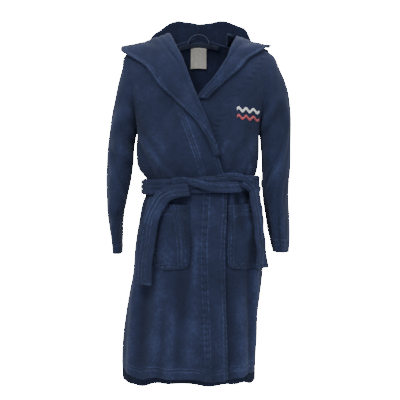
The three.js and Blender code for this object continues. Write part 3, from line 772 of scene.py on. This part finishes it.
def lapel(toward):
    """From its tip on the front, up over the shoulder, to the hood's seam. The outer edge is a cut one
    and the inner one is rolled; the sheet is puffed between them and its shoulder tip is raised."""
    edge, roll, tip = ((right_lapel_edge, upper_edge, -334) if toward == RIGHT
                       else (left_lapel_edge, lower_edge, -186))

    def edges(z, run):
        behind = mix(188, 150, np.clip(run / NECK_RUN, 0, 1))
        rolled = np.where(run > 0, toward * 79, roll(z) - toward * 1.5)
        outer = np.where(run > 0, toward * behind, edge(z))
        return (outer, rolled) if toward == RIGHT else (rolled, outer)

    def lift(x, z, u, run):
        out = 1 - u if toward == RIGHT else u
        ridges = sum(fold(toward * x, z, *each) for each in (
            ((118, -22), (52, -108), 4.5, 2.6), ((104, -12), (44, -92), 4, 2.2),
            ((160, -50), (96, -66), 9, 2.5)))
        puff = 3.2 * np.sin(np.pi * np.clip(out * 1.25, 0, 1)) + 1.5 * step(out, 0.8, 1)
        tip_up = 7 * step(toward * x, 150, 205)
        return ON_FRONT + puff + ridges + tip_up + (overlap(x, z) if toward == RIGHT else 0 * x)

    end = lambda u: hood_top(mix(76, 150, (1 - u) if toward == RIGHT else u) / 150) - 1
    start = lambda u: run_at(toward * 40 + 0 * u, tip + 0 * u, -1)
    return lay(edges, start, end, 44, 150, lift)


for toward, name in ((RIGHT, "right_lapel"), (LEFT, "left_lapel")):
    points, bumps = lapel(toward)
    width = np.linspace(0, 1, points.shape[1])
    rolled = width if toward == RIGHT else 1 - width
    wall = 4.2 + 3.0 * step(rolled, 0.86, 0.97) + 1.2 * step(1 - rolled, 0.93, 0.99)
    # crest is raised by 1.5 mm on the lapels, which paints the whole lapel lighter: painted light
    item = cloth(name + "_cloth", points, wall[None, :] + 0 * points[..., 0], crest=bumps + 1.5,
                 across_from="left" if toward == RIGHT else "right")
    sewn(item, "root", lapel_terry, name)

# %% The hood
HOOD_DROP, HOOD_HALF = 300, 150
hood_terry = towelling("towelling hood", lines_v=(0.012, 0.018), lift=0.06, pile=0.45)


hood_rise = fair([(-150, 4), (-140, 14), (-128, 28), (-101, 34), (-60, 34), (-22, 16), (0, 9), (22, 16),
                  (62, 38), (100, 46), (127, 48), (140, 30), (150, 8)])


def hood(columns=110, rows=190):
    """One sheet folded in a U: down the back, round the fold, and up again to a rim that stands off by
    56 mm at the centre and 16 mm at the sides, and rises by hood_rise. share is the distance from the
    centre seam."""
    side, v = np.meshgrid(np.linspace(-1, 1, columns + 1), np.linspace(0, 1, rows + 1))
    share = np.abs(side)
    top = hood_top(share) + 1
    bottom = mix(NECK_RUN + HOOD_DROP, top + 60, share**2.2)
    down = 1 - np.abs(2 * v - 1)
    rim = mix(56, 16, share**2)
    back = step(v, 0.42, 0.58) * mix(rim, 12, down**0.7)
    x, run = side * HOOD_HALF, mix(top, bottom, down)
    z = height(x, run)
    outer_layer = step(v, 0.5, 0.62)
    bumps = outer_layer * (3.0 * wander(x, z, 47, 90) + 0.7 * wander(x, z, 48, 34)
                           + sum(fold(x, z, *each) for each in (
                               ((-90, -60), (-20, -260), 14, 6), ((80, -70), (26, -270), 13, 6),
                               ((-40, -20), (-52, -180), 10, 4), ((44, -30), (60, -170), 11, 4),
                               ((-120, -90), (10, -150), 12, 4), ((110, -80), (0, -200), 12, 4))))
    seam = -2.2 * np.exp(-((x / 3.2) ** 2)) * outer_layer
    points = on_shell(x, run, WALL + 4 + back + np.maximum(bumps, -2.5) + seam)
    points[..., 2] += hood_rise(x) * (1 - down) ** 2 * step(v, 0.5, 0.75)
    return points, bumps


points, bumps = hood()
hood_cloth = cloth("hood_cloth", points, WALL, crest=bumps)
neck = joint_place("hood_lift")
gives = ("root", "hood", neck + [0, 0.008, -0.006], neck + [0, 0.024, -0.018])
sewn(hood_cloth, gives, hood_terry, "right_hood", "left_hood")

# %% [markdown]
# ## Patch pockets
# A pocket is a sheet sewn down at its sides and its rounded bottom, with a doubled band at the top.
# It stands a little off the front in the middle, so its mouth throws a shadow.

# %% The two pockets
POCKET_TOP, POCKET_HEIGHT, POCKET_ROOM = -474, 168, 13
pocket_terry = towelling("towelling pocket", lines_u=(0.003, 0.012, 0.088, 0.099), lift=-0.02,
                         lines_v=(0.003, 0.012, 0.152, 0.157))


def pocket(low, high, base, columns=44, rows=70):
    """Sheet on the front between two upright edges; the inset at the bottom corners is a circle's."""
    u, v = np.meshgrid(np.linspace(0, 1, columns + 1), np.linspace(0, 1, rows + 1))
    rise = POCKET_HEIGHT * v
    corner = np.maximum(0, 20 - rise)
    inset = 20 - np.sqrt(400 - corner**2)
    wobble = 1.6 * np.sin(rise / 27 + low)
    x = mix(low + inset + wobble, high - inset + wobble, u)
    z = POCKET_TOP - POCKET_HEIGHT + rise + 2 * np.sin(np.pi * u) * (v - 0.6)
    from_edge = np.minimum(np.minimum(x - low, high - x), rise)
    room = POCKET_ROOM * step(from_edge, 0, 30) * mix(0.35, 1, v)
    band = 1.2 * step(v, 0.90, 0.93)
    bumps = relief(x, z, -1) + 0.9 * pucker(x + z, from_edge - 8, 7, 6, 13) + 1.2 * wander(x, z, 61, 60)
    lift = base(x, z) + WALL + 0.8 + room + band + bumps
    return on_shell(x, run_at(x, z, -1), lift), bumps


for name, low, high, base in (
    ("right_pocket", -126, -24, overlap),
    ("left_pocket", 79, 163, lambda x, z: 0 * x),
):
    points, bumps = pocket(low, high, base)
    sewn(cloth(name + "_cloth", points, WALL - 0.5, crest=bumps), "root", pocket_terry, name)

# %% [markdown]
# ## The belt
# The belt is a flat tube of towelling, quilted lengthwise into three soft channels. It goes once round
# the waist, is tied at the front, and its ends hang down. The tie is simplified: three strands lie over
# each other and aren't threaded through. Every stretch is the same ribbon: a middle line on the shell,
# a direction across it, and three arches of relief.

# %% Ribbons
BELT_WIDTH, BELT_LIFT, BELT_THICK = 36, 15, 4.5
belt_terry = towelling("towelling belt", lines_u=(0.012, 0.024), lift=0.05, pile=0.45)


def belt_height(x):
    """The belt climbs a little towards the wearer's left."""
    return WAIST + 0.04 * x


def channels(share, height_of=2.0):
    """Three arches across the ribbon: the size of the sine of three half turns."""
    return height_of * np.abs(np.sin(3 * np.pi * share)) ** 0.7


def ribbon(places, width=BELT_WIDTH, roll=0.0, columns=24, rows=120):
    """A ribbon along fair curves through [x, z, lift] places. Its across direction is the middle line's
    normal in the front plane, rolled by an angle in turns; width and roll may differ at each place."""
    at = np.linspace(0, 1, len(places))
    x_of, z_of, lift_of = (fair(list(zip(at, column))) for column in np.array(places, float).T)
    roll_of = fair(list(zip(at, np.broadcast_to(roll, len(places)))))
    width_of = fair(list(zip(at, np.broadcast_to(width, len(places)))))
    share, t = np.meshgrid(np.linspace(0, 1, columns + 1), np.linspace(1, 0, rows + 1))
    dx, dz = (np.gradient(of(t[:, 0]), t[:, 0]) for of in (x_of, z_of))
    norm = np.hypot(dx, dz)[:, None]
    turn = 2 * np.pi * roll_of(t)
    off = (share - 0.5) * width_of(t)
    x = x_of(t) - off * np.cos(turn) * dz[:, None] / norm
    z = z_of(t) + off * np.cos(turn) * dx[:, None] / norm
    arches = channels(share, 2.0 * (width_of(t) / BELT_WIDTH) ** 2)
    lift = lift_of(t) + off * np.sin(turn) + arches + 0.6 * np.sin(t * 23 + share * 2)
    return on_shell(x, run_at(x, z, -1), lift), arches - 1


# %% The belt round the waist
def waistband(columns=260, rows=16):
    """The superellipse of the waist, grown by the belt's lift, with the channels along it."""
    turn, share = np.meshgrid(2 * np.pi * np.arange(columns) / columns, np.linspace(0, 1, rows + 1))
    right, left = float(right_side(WAIST)), float(left_side(WAIST))

    def power(value):
        return np.sign(value) * np.abs(value) ** (2 / POWER)

    lift = BELT_LIFT + channels(share) + 1.2 * np.sin(5 * turn + 3 * share) + 0.8 * np.sin(13 * turn)
    x = (left - right) / 2 - ((left + right) / 2 + lift) * power(np.cos(turn))
    y = -(91 + lift) * power(np.sin(turn))
    wave = 1.4 * np.sin(3 * turn + 1) + 0.8 * np.sin(7 * turn)
    z = belt_height(x) + (share - 0.5) * (BELT_WIDTH + 1.5 * np.sin(4 * turn)) + wave
    return np.stack([x, y, z], -1), channels(share) - 1


points, bumps = waistband()
sewn(cloth("belt_waist_cloth", points, BELT_THICK, closed=True, crest=bumps), "root", belt_terry,
     "belt_waist", rests_on=["right_belt_loop", "left_belt_loop"])

# %% The crossing strands and the hanging ends
ABOVE = BELT_LIFT + BELT_THICK + 3
strands = {
    "belt_tie_under": ([(-62, WAIST - 14, ABOVE - 1), (-40, WAIST - 5, ABOVE), (-12, WAIST + 6, ABOVE + 1),
                        (24, WAIST + 11, ABOVE + 2), (60, WAIST + 13, ABOVE + 1),
                        (104, WAIST + 14, ABOVE - 2)],
                       27, [0.01, 0.02, 0, -0.02, 0, 0.02]),
    "belt_tie_over": ([(-64, WAIST + 9, ABOVE), (-34, WAIST + 12, ABOVE + 5), (-6, WAIST + 6, ABOVE + 11),
                       (22, WAIST - 4, ABOVE + 10), (58, WAIST - 9, ABOVE + 5), (104, WAIST - 8, ABOVE)],
                      [24, 22, 20, 22, 25, 26], [-0.02, 0.03, 0.05, 0.03, 0, -0.02]),
    "belt_tie_top": ([(46, WAIST + 19, ABOVE + 1), (74, WAIST + 27, ABOVE + 7), (98, WAIST + 27, ABOVE + 11),
                      (116, WAIST + 15, ABOVE + 13), (126, WAIST - 1, ABOVE + 10)],
                     [16, 22, 20, 18, 17], [0, 0.05, 0.08, 0.04, 0]),
}
for name, (places, width, roll) in strands.items():
    points, bumps = ribbon(places, width, roll, rows=70)
    sewn(cloth(name, points, 2.6, crest=bumps), "root", belt_terry, "belt_tie", held="folded")
TIE_FRONT, TAIL_LIFT = BELT_LIFT + BELT_THICK + 9 + WALL + 3, 38
right_tail = [(-26, WAIST - 13, TIE_FRONT - 4), (-52, WAIST - 18, TIE_FRONT),
              (-78, WAIST - 32, TAIL_LIFT + 1),
              (-96, WAIST - 58, TAIL_LIFT), (-110, WAIST - 96, TAIL_LIFT), (-119, WAIST - 150, TAIL_LIFT),
              (-127, WAIST - 212, TAIL_LIFT), (-130, WAIST - 268, TAIL_LIFT)]
left_tail = [(110, WAIST + 10, TIE_FRONT - 6), (124, WAIST - 6, TIE_FRONT - 4),
             (133, WAIST - 32, TAIL_LIFT - 8),
             (139, WAIST - 76, TAIL_LIFT - 4), (143, WAIST - 120, TAIL_LIFT - 4),
             (147, WAIST - 170, TAIL_LIFT - 4), (149, WAIST - 220, TAIL_LIFT - 6)]
points, bumps = ribbon(right_tail, 29, [0, 0.01, 0, -0.015, 0.01, 0, 0.01, 0], rows=150)
tail_terry = towelling("towelling belt end", lines_u=(0.012, 0.023), lines_v=(0.006,), lift=0.05, pile=0.45)
sewn(cloth("right_belt_tail_cloth", points, BELT_THICK, crest=bumps), "right_belt_tail", tail_terry,
     "right_belt_tail")
left_widths, left_roll = [26, 22, 17, 20, 15, 20, 22], [0, 0.03, 0.08, -0.04, 0.08, -0.06, 0.03]
points, bumps = ribbon(left_tail, left_widths, left_roll, rows=150)
sewn(cloth("left_belt_tail_cloth", points, BELT_THICK, crest=bumps), "left_belt_tail", tail_terry,
     "left_belt_tail")


# %% The belt loops
def belt_loop(toward, columns=8, rows=48):
    """A narrow strip from seam to seam over the belt: half a turn, its cosine flattened by a root."""
    across_loop, v = np.meshgrid(np.linspace(0.5, -0.5, columns + 1), np.linspace(-0.5, 0.5, rows + 1))
    turn = v * np.pi
    seam = float((right_side if toward == RIGHT else left_side)(WAIST))
    z = belt_height(toward * seam) + np.sin(turn) * (BELT_WIDTH / 2 + 12)
    near = (right_side if toward == RIGHT else left_side)(z) + WALL + 3
    out = mix(near, seam + BELT_LIFT + BELT_THICK + 4, np.maximum(np.cos(turn), 0) ** 0.5)
    return np.stack([toward * out, -toward * across_loop * 12, z + 0 * out], -1)


loop_terry = towelling("towelling belt loop", lines_u=(0.0025, 0.0095), pile=0.35)
for toward, name in ((RIGHT, "right_belt_loop"), (LEFT, "left_belt_loop")):
    sewn(cloth(name + "_cloth", belt_loop(toward), 2), "root", loop_terry, name)

# %% [markdown]
# ## Inside the neck
# A woven tape covers the neck seam, a blank label is sewn below it, and a loop of the same tape hangs
# the robe on a hook. Woven tape is two sets of yarn crossing; a product of two sines makes their bumps.

# %% Woven finishes
def woven(name, dark, light, pitch, rough, gloss=0.3):
    """Yarns across and along: the height is the product of their sines, and a noise varies the tone."""
    f = Finish(name)
    flat = f.node("ShaderNodeUVMap", {"uv_map": "cloth"})
    u = f.node("ShaderNodeSeparateXYZ", None, flat, out=0)
    v = f.node("ShaderNodeSeparateXYZ", None, flat, out=1)
    yarns = ((u * (6.283 / pitch)).math("SINE") * (v * (6.283 / pitch)).math("SINE")) * 0.5 + 0.5
    tone = f.node("ShaderNodeTexNoise", None, flat, Scale=160.0, Detail=4.0)
    colour = mixed(f, yarns * 0.6 + tone * 0.4, dark, light)
    bump = f.node("ShaderNodeBump", None, Strength=0.6, Distance=0.0004, Height=yarns)
    return f.done(f.node("ShaderNodeBsdfPrincipled", None, Base_Color=colour, Normal=bump, Roughness=rough,
                         Specular_IOR_Level=gloss, Sheen_Weight=0.1))


tape_finish = woven("woven tape", (0.014, 0.019, 0.042, 1), (0.036, 0.047, 0.090, 1), 0.0016, 0.8)
label_finish = woven("woven label", (0.42, 0.40, 0.36, 1), (0.60, 0.58, 0.53, 1), 0.0007, 0.55)
INSIDE = -TRIM - 1.5


def inside_neck(half, start, end, lift, columns, rows):
    """A patch inside the back, between two runs."""
    u, v = np.meshgrid(np.linspace(-1, 1, columns + 1), np.linspace(1, 0, rows + 1))
    x, run = u * half, mix(start, end, v)
    return on_shell(x, run, lift + 0.3 * np.sin(u * 9) + relief(x, height(x, run), 1))[:, ::-1]


sewn(cloth("neck_tape_cloth", inside_neck(56, NECK_RUN + 2, NECK_RUN + 16, INSIDE - 1.2, 40, 8), TRIM - 0.5),
     "root", tape_finish, "neck_tape", slot="tape")
sewn(cloth("size_label_cloth", inside_neck(22, NECK_RUN + 19, NECK_RUN + 75, INSIDE - 1.6, 24, 30), 0.8),
     "root", label_finish, "size_label", slot="label")


def hanger(columns=6, rows=60):
    """Half a turn of tape, standing up from the neck seam."""
    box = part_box("hanger_loop")
    low, high = (np.array(corner) / MM - SHIFT / MM for corner in box)
    across_tape, v = np.meshgrid(np.linspace(-0.5, 0.5, columns + 1), np.linspace(1, 0, rows + 1))
    turn = np.pi * (1 - v)
    half, rise = (high[0] - low[0]) / 2 - TRIM, high[2] - low[2] - TRIM
    y = (low[1] + high[1]) / 2 + across_tape * (high[1] - low[1])
    return np.stack([-half * np.cos(turn), y, low[2] + rise * np.sin(turn)], -1)


sewn(cloth("hanger_loop_cloth", hanger(), TRIM), "root", tape_finish, "hanger_loop", slot="tape")

# %% [markdown]
# ## The chest motif
# Two stitched waves decorate the chest. Satin stitch is rows of parallel threads laid side by side, so
# its relief is a fine sine along the wave, and its thread shines a little more than the towelling.

# %% Satin stitch waves
def satin(name, dark, light):
    """Threads 0.6 mm apart lie across the wave: a sine of the distance along it."""
    f = Finish(name)
    u = f.node("ShaderNodeSeparateXYZ", None, f.node("ShaderNodeUVMap", {"uv_map": "cloth"}), out=0)
    threads = (u * (6.283 / 0.0012)).math("SINE") * 0.5 + 0.5
    place = f.node("ShaderNodeTexCoord", out=3)
    paler = f.node("ShaderNodeTexNoise", None, place, Scale=260.0, Detail=3.0)
    colour = mixed(f, threads * 0.5 + paler * 0.5, dark, light)
    bump = f.node("ShaderNodeBump", None, Strength=0.7, Distance=0.0005, Height=threads)
    return f.done(f.node("ShaderNodeBsdfPrincipled", None, Base_Color=colour, Normal=bump, Roughness=0.5,
                         Sheen_Weight=0.2))


white_satin = satin("thread white", (0.46, 0.46, 0.47, 1), (0.80, 0.80, 0.80, 1))
red_satin = satin("thread red", (0.20, 0.020, 0.030, 1), (0.42, 0.045, 0.060, 1))


MOTIF_FROM, MOTIF_TO = 102, 160


def wave(level, columns=120, rows=6):
    """A strip 6 mm high whose middle is a sine of three periods, raised in the middle of its height."""
    u, v = np.meshgrid(np.linspace(0, 1, columns + 1), np.linspace(0, 1, rows + 1))
    x = mix(MOTIF_FROM, MOTIF_TO, u)
    z = level - 0.08 * (x - MOTIF_FROM) + 4 * np.sin(6 * np.pi * u) + 6 * (v - 0.5)
    lift = WALL + 0.5 + 0.8 * np.sin(np.pi * v) + relief(x, z, -1)
    return on_shell(x, run_at(x, z, -1), lift)


for name, level, finish in (("motif_upper_wave", -214, white_satin), ("motif_lower_wave", -234, red_satin)):
    sewn(cloth(name + "_stitches", wave(level), 0.9), "root", finish, name, held="laid",
         slot="thread_white" if finish is white_satin else "thread_red")

# %% [markdown]
# ## Floor, light and camera
# White surroundings, with a round of paper on the floor below. One large soft light in front and a
# little to the side gives the folds their shading, a weaker one fills the other side, and the camera
# looks straight at the front from waist height. The surroundings are brighter to the camera than to the
# cloth, so that they look white without washing out the navy.

# %% The stage
def stage():
    """A round of paper on the floor: rings of a disc, from the sine and cosine of the turn."""
    ring, turn = np.meshgrid(np.linspace(0.0005, 0.7, 12), np.linspace(0, 2 * np.pi, 97), indexing="ij")
    low = cad_box[0][2] - 0.2
    points = np.stack([ring * np.cos(turn), ring * np.sin(turn), low + 0 * ring], -1).reshape(-1, 3)
    mesh = bpy.data.meshes.new("paper")
    mesh.from_pydata(points, [], quads(np.arange(12 * 97).reshape(12, 97)), shade_flat=False)
    paper = bpy.data.objects.new("paper", mesh)
    bpy.context.collection.objects.link(paper)
    f = Finish("white paper")
    grain = f.node("ShaderNodeTexNoise", None, f.node("ShaderNodeTexCoord", out=3), Scale=90.0)
    tint = mixed(f, grain, (0.84, 0.84, 0.84, 1), (0.90, 0.90, 0.90, 1))
    mesh.materials.append(f.done(f.node("ShaderNodeBsdfPrincipled", None, Base_Color=tint, Roughness=0.9)))


stage()
AIM = np.array([0.004, 0, SHIFT[2] - 0.459])


def soft_light(name, place, power, size):
    """An area light that points at the robe."""
    data = bpy.data.lights.new(name, "AREA")
    data.energy, data.size, data.shape = power, size, "DISK"
    lamp = bpy.data.objects.new(name, data)
    lamp.location = place
    lamp.rotation_euler = (Vector(AIM) - Vector(place)).to_track_quat("-Z", "Y").to_euler()
    bpy.context.collection.objects.link(lamp)


soft_light("key", (-0.9, -2.4, 1.6), 84, 1.2)
soft_light("fill", (2.4, -2.4, 0.2), 30, 2.0)
soft_light("top", (0.2, -0.4, 2.2), 30, 1.6)
soft_light("rim", (0.5, 1.5, 0.9), 14, 1.2)
world = bpy.data.worlds.new("studio")
bpy.context.scene.world = world
world.use_nodes = True
tree = world.node_tree
sky = tree.nodes["Background"]
sky.inputs[0].default_value, sky.inputs[1].default_value = (0.92, 0.96, 1, 1), 1.0
seen = tree.nodes.new("ShaderNodeBackground")
seen.inputs[0].default_value, seen.inputs[1].default_value = (1, 1, 1, 1), 30.0
path, choice = tree.nodes.new("ShaderNodeLightPath"), tree.nodes.new("ShaderNodeMixShader")
tree.links.new(path.outputs["Is Camera Ray"], choice.inputs[0])
tree.links.new(sky.outputs[0], choice.inputs[1])
tree.links.new(seen.outputs[0], choice.inputs[2])
tree.links.new(choice.outputs[0], tree.nodes["World Output"].inputs[0])

# %% The camera
DISTANCE, SEEN_WIDTH = 3.5, 1.08
lens = bpy.data.cameras.new("camera")
lens.sensor_width = 36
lens.lens = 36 * (DISTANCE - 0.12) / SEEN_WIDTH
camera = bpy.data.objects.new("camera", lens)
camera.location = AIM + [0, -DISTANCE, 0.03]
camera.rotation_euler = (Vector(AIM) - camera.location).to_track_quat("-Z", "Y").to_euler()
bpy.context.collection.objects.link(camera)
bpy.context.scene.camera = camera
print("camera at", [round(value, 2) for value in camera.location])

# %% [markdown]
# ## The end

# %% The end
import json
